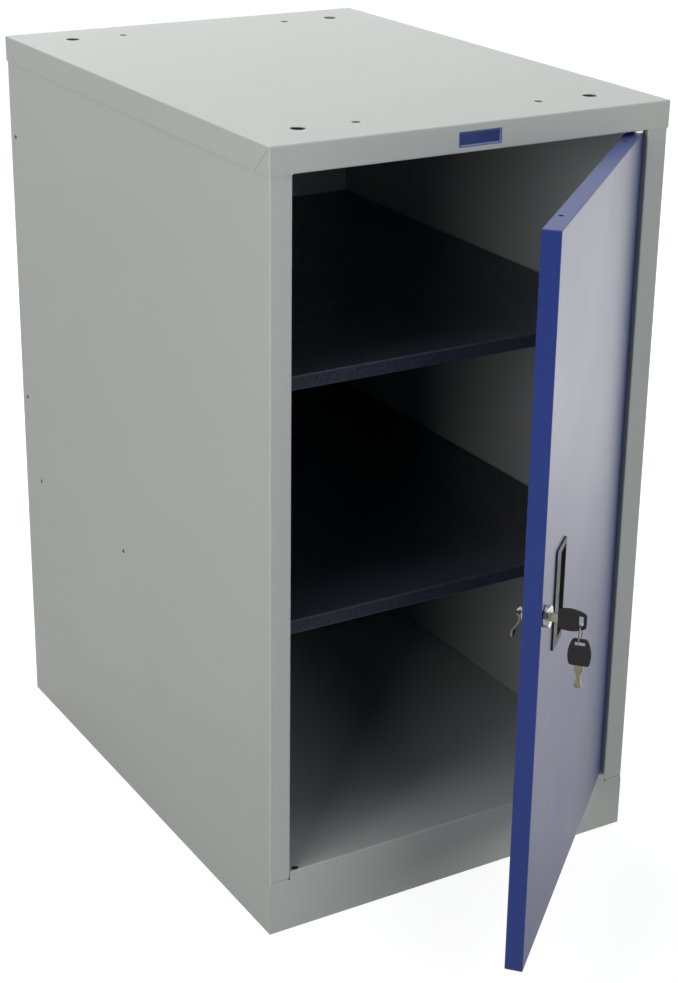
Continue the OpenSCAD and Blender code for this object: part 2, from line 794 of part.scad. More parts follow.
// Lock body: collar, and barrel with two flats
module lock_body() color(bright_metal) at_lock() difference() {
    union() {
        rotate_extrude() polygon([
            [0, 0],
            [collar_d / 2, 0],
            [collar_d / 2, collar_out / 4],
            [collar_d / 2 - 1, collar_out - 1],
            [collar_d / 2 - 2, collar_out],
            [0, collar_out]
        ]);
        translate([0, 0, -door_t - barrel_out]) linear_extrude(door_t + barrel_out + collar_out / 2)
            flatted(barrel_d / 2, flats_w);
    }
    translate([0, 0, -2 * door_t]) cylinder(d = plug_d + 2 * running_fit, h = 3 * door_t);
    translate([0, 0, collar_out - plug_head_h - end_play])
        cylinder(d = plug_head_d + 2 * running_fit, h = collar_out);
}

module lock_nut() color(bright_metal) at_lock() translate([0, 0, -sheet - nut_t]) difference() {
    cylinder(r = nut_w / sqrt(3), h = nut_t, $fn = 6);
    translate([0, 0, -past]) cylinder(r = barrel_d / 2 + running_fit, h = nut_t + 2 * past);
}

// Plug with the keyway in front and a square for the cam behind
module lock_plug() color(bright_metal) at_lock() difference() {
    way_depth = blade_len - shoulder_len + end_play;
    union() {
        translate([0, 0, collar_out - plug_head_h]) cylinder(d = plug_head_d, h = plug_head_h);
        translate([0, 0, plug_end]) cylinder(d = plug_d, h = collar_out - plug_head_h - plug_end);
        translate([0, 0, plug_end - cam_t / 2]) cube([square_w, square_w, cam_t], center = true);
    }
    translate([0, 0, collar_out])
        cube([blade_t + 2 * key_fit, blade_w + 2 * key_fit, 2 * way_depth], center = true);
    translate([0, 0, cam_end - past]) cylinder(d = screw_d + 2 * lock_fit, h = screw_len + past);
}

// Cranked cam, pointing down when unlocked
module lock_cam() color(bright_metal) at_lock() difference() {
    section = [
        [cam_w / 2, plug_end],
        [-cam_flat, plug_end],
        [-cam_slope, plug_end - cam_crank],
        [-cam_reach, plug_end - cam_crank]
    ];
    intersection() {
        across(cam_w) polygon(concat(section, [for (i = [3:-1:0]) section[i] - [0, cam_t]]));
        translate([0, 0, cam_end - cam_crank - past]) linear_extrude(cam_crank + 3 * past)
            translate([0, -cam_reach]) plate_up(cam_w, cam_reach + cam_w / 2);
    }
    translate([0, 0, plug_end])
        cube([square_w + lock_fit, square_w + lock_fit, 3 * cam_t], center = true);
}

// Strip that stands on the X axis, with a half-round upper end and softened lower corners
module plate_up(w, h) {
    translate([0, h - w / 2]) circle(d = w);
    translate([0, 0]) polygon(round_rect(w, h - w / 2, 0, w / 4));
}

module cam_screw() color(bright_metal) at_lock() difference() {
    union() {
        translate([0, 0, cam_end - screw_head_h]) cylinder(d = screw_head_d, h = screw_head_h);
        translate([0, 0, cam_end - screw_head_h / 2]) cylinder(d = screw_d, h = screw_len - 1);
    }
    for (a = [0, 90]) rotate([0, 0, a]) translate([0, 0, cam_end - screw_head_h])
        cube([screw_head_d / 2, screw_head_h / 3, screw_head_h], center = true);
}

// Half width of a key's bow at a distance z from the blade
function bow_half(z) = bow_w / 2 - (z < bow_wide_at
    ? bow_taper_in * pow((bow_wide_at - z) / bow_wide_at, 2)
    : bow_taper_out * pow((z - bow_wide_at) / (bow_len - bow_wide_at), 2));

// Loss of half width in a rounded corner at a distance d from the bow's end
function corner_loss(d) = d >= bow_r ? 0 : bow_r - sqrt(pow(bow_r, 2) - pow(bow_r - d, 2));

// A key is drawn with its bow above z = 0, its blade below, and its faces across X
module key_shape(thickness) across(thickness) children();

module bow_shape() {
    steps = 28;
    side = [
        for (k = [0:steps])
            let (z = bow_len * (1 - cos(180 * k / steps)) / 2)
            [bow_half(z) - corner_loss(min(z, bow_len - z)), z]
    ];
    difference() {
        key_shape(bow_t) difference() {
            polygon(concat(side, [for (k = [steps:-1:0]) [-side[k].x, side[k].y]]));
            translate([0, slot_mid - bow_slot_h / 2]) polygon(round_rect(bow_slot_w, bow_slot_h, 1, 1));
        }
        key_shape(tang_t + 2 * key_fit) translate([-tang_w / 2 - key_fit, -past])
            square([tang_w + 2 * key_fit, tang_len + past + key_fit]);
    }
}

// Cuts of the blade, from the shoulder to the tip, as loss of half width
cuts = [0.9, 1.5, 1.3, 0.4];

module blade_shape() {
    cut_len = (blade_len - shoulder_len) / (len(cuts) + 1);
    half = blade_w / 2;
    edge = [
        [shoulder_w / 2, 0],
        [shoulder_w / 2, -shoulder_len],
        [half, -shoulder_len],
        for (i = [0:len(cuts) - 1], k = [0.3, 0.7]) [half - cuts[i], -shoulder_len - cut_len * (i + k)],
        [half, -blade_len + cut_len],
        [half, -blade_len + half / 2],
        [half / 2, -blade_len]
    ];
    key_shape(blade_t) polygon(concat(edge, [for (i = [len(edge) - 1:-1:0]) [-edge[i].x, edge[i].y]]));
    key_shape(tang_t) translate([-tang_w / 2, -1]) square([tang_w, tang_len + 1]);
}

module at_key() at_lock() translate([0, 0, key_z]) children();
module at_spare_key() at_key() translate([0, spare_y, slot_mid]) rotate([-90, 0, 0]) children();

module key_blade() color(bright_metal) at_key() blade_shape();
module key_bow() color(black_plastic) at_key() bow_shape();
module spare_key_blade() color(pale_brass) at_spare_key() blade_shape();
module spare_key_bow() color(black_plastic) at_spare_key() bow_shape();

module key_ring() color(bright_metal) at_key() translate([0, ring_y, slot_mid])
    rotate_extrude() translate([ring_r, 0]) circle(d = wire_d, $fn = 24);

top_panel();
left_side_panel();
right_side_panel();
back_panel();
floor_and_plinth();
upper_shelf();
lower_shelf();
upper_left_shelf_support();
upper_right_shelf_support();
lower_left_shelf_support();
lower_right_shelf_support();
side_rivets();
badge_plate();
lock_keeper();
upper_hinge_bush();
lower_hinge_bush();
door_panel();
upper_hinge_pin();
lower_hinge_pin();
recess_handle();
lock_body();
lock_nut();
lock_plug();
lock_cam();
cam_screw();
key_blade();
key_bow();
key_ring();
spare_key_blade();
spare_key_bow();
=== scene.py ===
"""Tool cabinet: the looks of every piece, the floor, the light and the camera."""

import json
from math import cos, pi, radians, sin

import bmesh
import bpy
from mathutils import Matrix, Vector


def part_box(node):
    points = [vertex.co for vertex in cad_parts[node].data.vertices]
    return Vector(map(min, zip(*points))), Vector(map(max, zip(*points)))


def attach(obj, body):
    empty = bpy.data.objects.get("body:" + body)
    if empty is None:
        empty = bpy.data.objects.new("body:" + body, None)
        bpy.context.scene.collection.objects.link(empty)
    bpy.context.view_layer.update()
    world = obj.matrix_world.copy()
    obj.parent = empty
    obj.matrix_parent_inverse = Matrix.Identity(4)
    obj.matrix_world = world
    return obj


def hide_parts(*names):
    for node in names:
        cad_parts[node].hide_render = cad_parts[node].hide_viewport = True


MM = 0.001

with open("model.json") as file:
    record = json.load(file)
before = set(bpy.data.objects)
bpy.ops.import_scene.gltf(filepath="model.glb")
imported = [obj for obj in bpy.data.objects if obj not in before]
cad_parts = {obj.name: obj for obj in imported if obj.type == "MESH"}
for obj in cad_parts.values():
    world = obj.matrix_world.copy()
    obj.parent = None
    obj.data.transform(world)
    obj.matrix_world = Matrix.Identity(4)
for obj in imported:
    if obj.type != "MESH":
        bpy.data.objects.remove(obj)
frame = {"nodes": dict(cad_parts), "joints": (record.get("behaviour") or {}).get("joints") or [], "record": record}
nodes = frame["nodes"]
joints = {joint["name"]: joint for joint in frame["joints"]}
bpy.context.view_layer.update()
scene = bpy.context.scene


# Node trees

EDGE_SAMPLES = 6
CREVICE_SAMPLES = 4


class Tree:
    """Short calls for building a node tree."""

    def __init__(self, tree):
        self.tree = tree
        coordinates = self.add("ShaderNodeTexCoord")
        self.place = coordinates.outputs["Object"]
        self.towards = coordinates.outputs["Generated"]

    def add(self, kind, **settings):
        node = self.tree.nodes.new(kind)
        for key, value in settings.items():
            setattr(node, key, value)
        return node

    def wire(self, source, target):
        self.tree.links.new(source, target)

    def feed(self, node, socket, value):
        """Links a socket or sets a plain value."""
        if isinstance(value, bpy.types.NodeSocket):
            self.wire(value, node.inputs[socket])
        else:
            node.inputs[socket].default_value = value

    def noise(self, scale, detail=3.0, rough=0.5, place=None):
        """Noise whose grains are about one over scale metres wide."""
        node = self.add("ShaderNodeTexNoise")
        self.wire(place or self.place, node.inputs["Vector"])
        node.inputs["Scale"].default_value = scale
        node.inputs["Detail"].default_value = detail
        node.inputs["Roughness"].default_value = rough
        return node.outputs["Fac"]

    def ramp(self, value, low, high, out_low=0.0, out_high=1.0):
        node = self.add("ShaderNodeMapRange", interpolation_type="SMOOTHSTEP")
        self.feed(node, "Value", value)
        limits = {"From Min": low, "From Max": high, "To Min": out_low, "To Max": out_high}
        for socket, number in limits.items():
            node.inputs[socket].default_value = number
        return node.outputs["Result"]

    def math(self, operation, a, b=0.5):
        node = self.add("ShaderNodeMath", operation=operation)
        self.feed(node, 0, a)
        self.feed(node, 1, b)
        return node.outputs[0]

    def dot(self, a, b):
        node = self.add("ShaderNodeVectorMath", operation="DOT_PRODUCT")
        self.feed(node, 0, a)
        self.feed(node, 1, b)
        return node.outputs["Value"]

    def split(self, vector):
        """The X, Y and Z sockets of a vector."""
        node = self.add("ShaderNodeSeparateXYZ")
        self.wire(vector, node.inputs[0])
        return node.outputs

    def mix(self, amount, a, b):
        node = self.add("ShaderNodeMix", data_type="RGBA")
        self.feed(node, "Factor", amount)
        for socket, value in ((6, a), (7, b)):
            if isinstance(value, bpy.types.NodeSocket):
                self.wire(value, node.inputs[socket])
            else:
                node.inputs[socket].default_value = (*value, 1.0)
        return node.outputs[2]

    def edges(self, radius):
        """Near 1 where the surface turns within radius, 0 on flat stretches."""
        bevel = self.add("ShaderNodeBevel", samples=EDGE_SAMPLES)
        bevel.inputs["Radius"].default_value = radius
        flat = self.add("ShaderNodeNewGeometry").outputs["Normal"]
        turned = self.math("SUBTRACT", 1.0, self.dot(bevel.outputs["Normal"], flat))
        return self.ramp(turned, 0.01, 0.12)

    def crevices(self, reach):
        """Near 1 in gaps narrower than about reach, 0 in the open."""
        node = self.add("ShaderNodeAmbientOcclusion", samples=CREVICE_SAMPLES)
        node.inputs["Distance"].default_value = reach
        return self.ramp(node.outputs["AO"], 0.2, 0.75, 1.0, 0.0)

    def bump(self, height, depth, strength=1.0, under=None):
        node = self.add("ShaderNodeBump")
        self.wire(height, node.inputs["Height"])
        node.inputs["Distance"].default_value = depth
        node.inputs["Strength"].default_value = strength
        if under is not None:
            self.wire(under, node.inputs["Normal"])
        return node.outputs["Normal"]


class Coat(Tree):
    """The node tree of one material, around its Principled shader."""

    def __init__(self, name):
        self.material = bpy.data.materials.new(name)
        self.material.use_nodes = True
        super().__init__(self.material.node_tree)
        self.shader = self.tree.nodes["Principled BSDF"]

    def finish(self, colour, roughness, normal=None, **constants):
        """Feeds the shader; the other constants are named by their sockets, with _ for a space."""
        for socket, value in (("Base Color", colour), ("Roughness", roughness)):
            if isinstance(value, tuple):
                value = (*value, 1.0)
            self.feed(self.shader, socket, value)
        if normal is not None:
            self.wire(normal, self.shader.inputs["Normal"])
        for socket, value in constants.items():
            self.shader.inputs[socket.replace("_", " ")].default_value = value
        return self.material


def shade(colour, factor):
    return tuple(channel * factor for channel in colour)


# Materials


SEAM_WIDTH = 3.2 * MM
SEAM_SHADE = 0.08
FOLD_REACH = 3 * MM
# Reach of the lighter edges, which are partly wear and partly a painted highlight
RUB_AND_HIGHLIGHT_REACH = 1.2 * MM
# Painted shade in gaps, corners and under the seam: how far the gaps reach and how dark the colour turns
CREVICE_SHADE_REACH = 2 * MM
PAINTED_SHADE_FACTOR = 0.15
CLOUD_SHADE = 0.95


def powder_coat(name, colour, roughness, grain=1400.0, depth=0.00005, speckle=0.12,
                worn_and_highlight=(0.5, 0.5, 0.5), wear_and_highlight=0.25, fold_highlight=0.2, fold_highlight_gain=1.1, gloss=1.5, seam=None):
    """Baked powder paint: a fine orange peel, a faint speckle, folds lighter as a painted highlight, edges lighter
    as wear and partly as a painted highlight, and painted shade in gaps and under a seam.

    grain is the number of grains in a metre, depth the height of the peel in metres, speckle how far
    the grains differ, worn_and_highlight the colour of the lighter edges, which is partly rubbed paint and partly
    a painted highlight, and wear_and_highlight their strength, fold_highlight and fold_highlight_gain how much
    folds are lighter as a painted highlight, gloss the index of refraction, and seam the height of an edge
    under which a painted shadow darkens the sheet.
    """
    t = Coat(name)
    peel = t.noise(grain, 2.0, 0.55)
    coarse = t.noise(grain / 2.5, 2.0, 0.5)
    fine = t.ramp(t.noise(grain * 0.7, 1.0, 0.5), 0.35, 0.7)
    cloud = t.ramp(t.noise(5.0, 4.0, 0.6), 0.3, 0.7)
    tone = t.mix(fine, shade(colour, 1 - speckle), shade(colour, 1 + speckle))
    tone = t.mix(t.math("MULTIPLY", cloud, 0.25), tone, shade(colour, CLOUD_SHADE))
    # Painted highlight: the colour is lighter along folds and bends
    tone = t.mix(t.math("MULTIPLY", t.edges(FOLD_REACH), fold_highlight), tone, shade(colour, fold_highlight_gain))
    # Lighter edges, broken up by noise: partly rubbed paint, partly a painted highlight on the edges
    rub_and_highlight = t.math("MULTIPLY", t.edges(RUB_AND_HIGHLIGHT_REACH), t.ramp(t.noise(160.0, 4.0, 0.7), 0.45, 0.7))
    tone = t.mix(t.math("MULTIPLY", rub_and_highlight, wear_and_highlight), tone, worn_and_highlight)
    # Painted shade: the colour darkens in gaps and corners narrower than the reach
    tone = t.mix(t.math("MULTIPLY", t.crevices(CREVICE_SHADE_REACH), 0.7), tone, shade(colour, PAINTED_SHADE_FACTOR))
    # Painted shadow: a dark line on the sheet just under the edge at the seam height
    if seam is not None:
        below = t.math("SUBTRACT", seam, t.split(t.place)[2])
        line = t.math("MULTIPLY", t.ramp(below, -SEAM_WIDTH / 4, 0.0),
                      t.ramp(below, SEAM_WIDTH / 2, SEAM_WIDTH, 1.0, 0.0))
        tone = t.mix(t.math("MULTIPLY", line, SEAM_SHADE), tone, shade(colour, PAINTED_SHADE_FACTOR))
    rough = t.math("ADD", t.ramp(cloud, 0.0, 1.0, roughness - 0.01, roughness + 0.01),
                   t.math("MULTIPLY", fine, 0.04))
    normal = t.bump(peel, depth, 0.5, t.bump(coarse, depth * 2.5, 0.35))
    return t.finish(tone, rough, normal, IOR=gloss)


def bare_metal(name, colour, roughness, streak=(1.0, 1.0, 1.0), depth=0.000008):
    """Plated metal with dulled patches and fine scratches, drawn out along the axis of least streak."""
    t = Coat(name)
    stretch = t.add("ShaderNodeMapping")
    stretch.inputs["Scale"].default_value = streak
    t.wire(t.place, stretch.inputs["Vector"])
    scratch = t.noise(2600.0, 3.0, 0.6, stretch.outputs["Vector"])
    cloud = t.ramp(t.noise(220.0, 4.0, 0.6), 0.35, 0.7)
    tone = t.mix(cloud, colour, shade(colour, 0.82))
    rough = t.math("ADD", t.ramp(cloud, 0.0, 1.0, roughness, roughness + 0.12),
                   t.math("MULTIPLY", scratch, 0.08))
    return t.finish(tone, rough, t.bump(scratch, depth, 0.6), Metallic=1.0)


def moulded_plastic(name, colour, roughness, depth=0.00002):
    """Moulded plastic with a spark-eroded grain and lighter scuffed edges."""
    t = Coat(name)
    grain = t.noise(2200.0, 3.0, 0.6)
    cloud = t.ramp(t.noise(90.0, 3.0, 0.6), 0.3, 0.7)
    scuff = t.math("MULTIPLY", t.edges(0.0006), t.ramp(t.noise(400.0, 3.0, 0.6), 0.4, 0.7))
    tone = t.mix(cloud, colour, shade(colour, 1.25))
    tone = t.mix(t.math("MULTIPLY", scuff, 0.5), tone, tuple(0.04 + 1.6 * channel for channel in colour))
    rough = t.ramp(cloud, 0.0, 1.0, roughness - 0.04, roughness + 0.06)
    return t.finish(tone, rough, t.bump(grain, depth, 0.6))


CASE_GREY = (0.385, 0.412, 0.398)
DOOR_BLUE = (0.007, 0.025, 0.160)
BADGE_BLUE = (0.022, 0.036, 0.12)
# The badge's bevel blue, lighter than the badge as a painted highlight on its bevel
BADGE_RIM_HIGHLIGHT_BLUE = (0.11, 0.16, 0.34)
SHELF_NAVY = (0.031, 0.037, 0.050)

# In these finishes the folds get a painted highlight, the lighter edges are partly wear and partly a painted
# highlight, and the badge's bevel is a lighter blue as a painted highlight
materials = {
    "case_grey": powder_coat("case_grey", CASE_GREY, 0.42, worn_and_highlight=(0.55, 0.57, 0.56), wear_and_highlight=0.12,
                             speckle=0.03, fold_highlight=0.3, seam=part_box("top_panel")[0][2]),
    "door_blue": powder_coat("door_blue", DOOR_BLUE, 0.32, worn_and_highlight=(0.06, 0.10, 0.36), wear_and_highlight=0.4,
                             grain=1000.0, depth=0.00008, speckle=0.15, gloss=1.55),
    "badge_blue": powder_coat("badge_blue", BADGE_BLUE, 0.28, worn_and_highlight=(0.12, 0.16, 0.30), wear_and_highlight=0.6,
                              depth=0.00002, fold_highlight=0.5, fold_highlight_gain=2.0, gloss=1.6),
    "shelf_navy": powder_coat("shelf_navy", SHELF_NAVY, 0.28, worn_and_highlight=(0.07, 0.09, 0.13), wear_and_highlight=0.6,
                              grain=800.0, depth=0.00009, speckle=0.3, fold_highlight=0.7, fold_highlight_gain=2.5),
    "badge_rim": powder_coat("badge_rim", BADGE_RIM_HIGHLIGHT_BLUE, 0.2, speckle=0.02, wear_and_highlight=0.0,
                             depth=0.00001, fold_highlight=0.0, gloss=1.7),
    "rivet_steel": bare_metal("rivet_steel", (0.20, 0.21, 0.22), 0.45),
    "pin_steel": bare_metal("pin_steel", (0.48, 0.48, 0.47), 0.32, (1.0, 1.0, 0.05)),
    "bush_nylon": moulded_plastic("bush_nylon", (0.80, 0.78, 0.72), 0.45),
    "black_plastic": moulded_plastic("black_plastic", (0.009, 0.009, 0.009), 0.5),
    "lock_chrome": bare_metal("lock_chrome", (0.68, 0.68, 0.66), 0.14),
    "cam_steel": bare_metal("cam_steel", (0.30, 0.29, 0.27), 0.26),
    "key_nickel": bare_metal("key_nickel", (0.52, 0.51, 0.46), 0.28, (1.0, 1.0, 0.1)),
    "key_brass": bare_metal("key_brass", (0.46, 0.41, 0.30), 0.34, (0.1, 1.0, 1.0)),
}

# Plain steel pieces of the lock, whose slot is the chrome of the rest
OWN_FINISH = {"lock_cam": "cam_steel", "lock_nut": "cam_steel", "cam_screw": "cam_steel"}


def dress_solids():
    """Gives each CAD solid the material of its slot."""
    for entry in frame["record"]["subparts"]:
        data = nodes[entry["node"]].data
        data.materials.clear()
        data.materials.append(materials[OWN_FINISH.get(entry["node"], entry["material_slot"])])


# Small pieces in more detail than the solids

LOCK_COLLAR_R = 10.5 * MM
LOCK_COLLAR_OUT = 6 * MM
LOCK_BORE_R = 6.65 * MM
LOCK_BORE_FLOOR = 2.6 * MM
LOCK_LIP = 1.4 * MM
BARREL_R = 8 * MM
BARREL_BORE_R = 5.55 * MM
BARREL_FLATS = 14 * MM
BARREL_LENGTH = 20.5 * MM
THREAD_PITCH = 1 * MM
THREAD_DEPTH = 0.35 * MM

RIVET_R = 2.5 * MM
RIVET_HEAD = 0.6 * MM
RIVET_BORE_R = 0.85 * MM
RIVET_GRIP = 2.1 * MM
RIVET_SHANK_R = 1.6 * MM

BADGE_FLANGE = 2 * MM
BADGE_BEVEL = 1.9 * MM
BADGE_DEPTH = 1.1 * MM
BADGE_RIM_BACK = 0.6 * MM
BADGE_CORNER = 0.6 * MM

RING_R = 8.9 * MM
RING_WIRE = 1.2 * MM
RING_TURNS = 2.0
RING_STEP = radians(16)
RING_FILL = 0.96  # the share of each layer that is wire, the rest is the gap between the layers
RING_END_TAPER = 0.35

BOW_LENGTH = 26.5 * MM
BOW_WIDTH = 21.7 * MM
BOW_WIDEST = 11 * MM
BOW_TAPER_IN = 1.7 * MM
BOW_TAPER_OUT = 4.2 * MM
BOW_CORNER = 2 * MM
BOW_THICK = 2.6 * MM
BOW_PANEL_THICK = 2.0 * MM
BOW_PANEL_INSET = 0.3 * MM
BOW_PANEL_EDGE = 0.2 * MM
BOW_RIM = 1.5 * MM
BOW_SLOT = (9.8 * MM, 4 * MM)
BOW_SLOT_CORNER = 1 * MM
BOW_SLOT_RIM = 1.3 * MM
BOW_STRIP = 3.1 * MM
BOW_EDGE = 0.4 * MM


def pivot(name):
    return Vector(joints[name]["pos_m"])


def axes_at(origin, x, y, z):
    """The matrix that puts a piece drawn about its own axes at its place."""
    turn = Matrix((x, y, z)).transposed().to_4x4()
    return Matrix.Translation(origin) @ turn


DOOR_OUT = -Vector(joints["lock_turn"]["axis"]).normalized()
DOOR_ALONG = Vector(joints["spare_key_swing"]["axis"]).normalized()
UP = Vector((0.0, 0.0, 1.0))
AT_LOCK = axes_at(pivot("lock_turn"), DOOR_ALONG, UP, DOOR_OUT)


def new_piece(name, mesh, place, material, body, *replaced):
    """Puts a mesh at its place, dresses it and makes it ride on a body in place of CAD nodes."""
    mesh.transform(place)
    obj = bpy.data.objects.new(name, mesh)
    scene.collection.objects.link(obj)
    mesh.materials.clear()
    mesh.materials.append(materials[material])
    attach(obj, body)
    if replaced:
        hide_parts(*replaced)
    return obj


def grid_mesh(name, rows, closed_rows=False, smooth=True):
    """A skin over rows of points, each row closed on itself."""
    bm = bmesh.new()
    skin = [[bm.verts.new(point) for point in row] for row in rows]
    count = len(skin[0])
    pairs = list(zip(skin, skin[1:]))
    if closed_rows:
        pairs.append((skin[-1], skin[0]))
    for low, high in pairs:
        for i in range(count):
            bm.faces.new((low[i], low[(i + 1) % count], high[(i + 1) % count], high[i]))
    bmesh.ops.recalc_face_normals(bm, faces=bm.faces)
    mesh = bpy.data.meshes.new(name)
    bm.to_mesh(mesh)
    bm.free()
    if smooth:
        mesh.shade_smooth()
    return mesh


def close_ends(mesh):
    """Fills the open ends of a skin."""
    bm = bmesh.new()
    bm.from_mesh(mesh)
    bmesh.ops.holes_fill(bm, edges=[edge for edge in bm.edges if edge.is_boundary])
    bmesh.ops.recalc_face_normals(bm, faces=bm.faces)
    bm.to_mesh(mesh)
    bm.free()


def revolved(name, profile, sides=64):
    """A closed profile of (radius, height) turned about Z."""
    rows = [[(r * cos(2 * pi * i / sides), r * sin(2 * pi * i / sides), z) for i in range(sides)]
            for r, z in profile]
    return grid_mesh(name, rows, closed_rows=True)


def rounded(profile, radius, steps=4):
    """The closed profile with its corners rounded, corner by corner, as far as their sides allow."""
    out = []
    for i, corner in enumerate(profile):
        corner = Vector(corner)
        before, after = Vector(profile[i - 1]) - corner, Vector(profile[(i + 1) % len(profile)]) - corner
        reach = min(radius, 0.45 * before.length, 0.45 * after.length)
        start, end = corner + before.normalized() * reach, corner + after.normalized() * reach
        for k in range(steps + 1):
            t = k / steps
            out.append(tuple((1 - t) ** 2 * start + 2 * t * (1 - t) * corner + t ** 2 * end))
    return out


def joined(name, meshes):
    """Several meshes as one."""
    bm = bmesh.new()
    for mesh in meshes:
        bm.from_mesh(mesh)
    whole = bpy.data.meshes.new(name)
    bm.to_mesh(whole)
    bm.free()
    return whole


def lock_collar():
    """The chromed collar: a plain round side, a rounded brow and a flat ring sunk towards the plug."""
    r, out, bore = LOCK_COLLAR_R, LOCK_COLLAR_OUT, LOCK_BORE_R
    return revolved("collar", rounded([
        (bore, LOCK_BORE_FLOOR),
        (bore, out - 0.9 * MM),
        (bore + 0.5 * MM, out - 0.4 * MM),
        (r - 2.2 * MM, out - 0.3 * MM),
        (r - LOCK_LIP, out),
        (r - 0.5 * MM, out),
        (r, out - 0.8 * MM),
        (r, 0.6 * MM),
        (r - 0.4 * MM, 0.0),
        (BARREL_BORE_R, 0.0),
        (BARREL_BORE_R, LOCK_BORE_FLOOR),
    ], 0.5 * MM))


def lock_barrel():
    """The threaded barrel with two flats, hollow for the plug."""
    sides, per_turn = 72, 6
    rows = []
    turns = int(BARREL_LENGTH / THREAD_PITCH)
    for k in range(turns * per_turn + 1):
        z = -k * THREAD_PITCH / per_turn
        row = []
        for i in range(sides):
            angle = 2 * pi * i / sides
            wave = abs(((k / per_turn - i / sides) % 1.0) * 2 - 1)
            r = BARREL_R - THREAD_DEPTH * (1 - wave)
            flat = BARREL_FLATS / 2 / max(abs(cos(angle)), 0.01)
            r = min(r, flat)
            row.append((r * cos(angle), r * sin(angle), z))
        rows.append(row)
    for z in (rows[-1][0][2], 0.0):
        rows.append([(BARREL_BORE_R * cos(2 * pi * i / sides), BARREL_BORE_R * sin(2 * pi * i / sides), z)
                     for i in range(sides)])
    return grid_mesh("barrel", rows, smooth=False)


def rounded_box(half_width, half_height, radius, z, steps=6):
    """A row of points round a rectangle with rounded corners."""
    row = []
    for sx, sy, start in ((1, 1, 0), (-1, 1, 90), (-1, -1, 180), (1, -1, 270)):
        for k in range(steps + 1):
            a = radians(start + 90 * k / steps)
            x, y = sx * (half_width - radius), sy * (half_height - radius)
            row.append((x + radius * cos(a), y + radius * sin(a), z))
    return row


def make_badge():
    """The bare badge: a pressed plate with a raised rim, a bevel down to its field, and a flange."""
    low, high = (Vector(corner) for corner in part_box("badge_plate"))
    flange, back = BADGE_FLANGE, high.y - low.y
    width, height = (high.x - low.x) / 2 - flange, (high.z - low.z) / 2 - flange
    step = back / 2
    rows = [rounded_box(width + outset, height + outset, radius, z) for outset, radius, z in (
        (flange, 0.5 * MM, -back),
        (flange, 0.5 * MM, -step),
        (0.0, BADGE_CORNER, -step),
        (0.0, BADGE_CORNER, -0.25 * MM),
        (-0.08 * MM, BADGE_CORNER, -0.08 * MM),
        (-0.25 * MM, BADGE_CORNER, 0.0),
        (-0.45 * MM, BADGE_CORNER, 0.0),
        (-BADGE_RIM_BACK, BADGE_CORNER, -0.1 * MM),
        (-BADGE_BEVEL, 0.5 * MM, 0.1 * MM - BADGE_DEPTH),
        (-BADGE_BEVEL - 0.3 * MM, 0.5 * MM, -BADGE_DEPTH),
        (-BADGE_BEVEL - 0.8 * MM, 0.5 * MM, -BADGE_DEPTH),
    )]
    mesh = grid_mesh("badge_plate_dressed", rows)
    close_ends(mesh)
    middle = Vector(((low.x + high.x) / 2, low.y, (low.z + high.z) / 2))
    place = axes_at(middle, Vector((1.0, 0.0, 0.0)), UP, Vector((0.0, -1.0, 0.0)))
    near_field, near_rim = -BADGE_DEPTH + 0.05 * MM, -0.15 * MM
    bevel = [face.index for face in mesh.polygons if near_field < face.center.z < near_rim]
    new_piece("badge_plate_dressed", mesh, place, "badge_blue", "cabinet", "badge_plate")
    # The bevel faces take the lighter blue: a painted highlight round the badge's field
    mesh.materials.append(materials["badge_rim"])
    for index in bevel:
        mesh.polygons[index].material_index = 1


def make_lock():
    body = joined("lock_body_dressed", [lock_collar(), lock_barrel()])
    new_piece("lock_body_dressed", body, AT_LOCK, "lock_chrome", "door", "lock_body")


def rivet_shape():
    """A blind rivet along Z: hollow flat head outside, the set end inside, and its broken stem."""
    r, head, bore, grip = RIVET_R, RIVET_HEAD, RIVET_BORE_R, RIVET_GRIP
    shell = revolved("rivet", rounded([
        (bore, -head * 0.9),
        (r * 0.55, -head),
        (r, -head * 0.25),
        (r, 0.0),
        (RIVET_SHANK_R, 0.0),
        (RIVET_SHANK_R, grip),
        (r * 0.9, grip),
        (r, grip + head * 0.5),
        (r * 0.6, grip + head),
        (bore, grip + head),
    ], 0.35 * MM), 32)
    stem = revolved("stem", rounded([
        (0.02 * MM, -head * 0.35),
        (bore, -head * 0.2),
        (bore, grip + head),
        (0.02 * MM, grip + head * 0.95),
    ], 0.1 * MM), 20)
    return joined("rivet_shape", [shell, stem])


def loose_centres(name, reach):
    """Middles of the separate solids of a node, each smaller than reach."""
    groups = []
    for vert in nodes[name].data.vertices:
        for group in groups:
            if (group[0] - vert.co).length < reach:
                group.append(vert.co.copy())
                break
        else:
            groups.append([vert.co.copy()])
    middles = []
    for group in groups:
        low = Vector([min(co[i] for co in group) for i in range(3)])
        high = Vector([max(co[i] for co in group) for i in range(3)])
        middles.append((low + high) / 2)
    return middles


def make_rivets():
    meshes = []
    for middle in loose_centres("side_rivets", 4 * RIVET_R):
        inward = Vector((-1.0 if middle.x > 0 else 1.0, 0.0, 0.0))
        along = Vector((0.0, 1.0, 0.0))
        start = middle - inward * RIVET_GRIP / 2
        shape = rivet_shape()
        shape.transform(axes_at(start, UP, inward.cross(UP), inward))
        meshes.append(shape)
    new_piece("side_rivets_dressed", joined("side_rivets_dressed", meshes), Matrix(), "rivet_steel",
              "cabinet", "side_rivets")


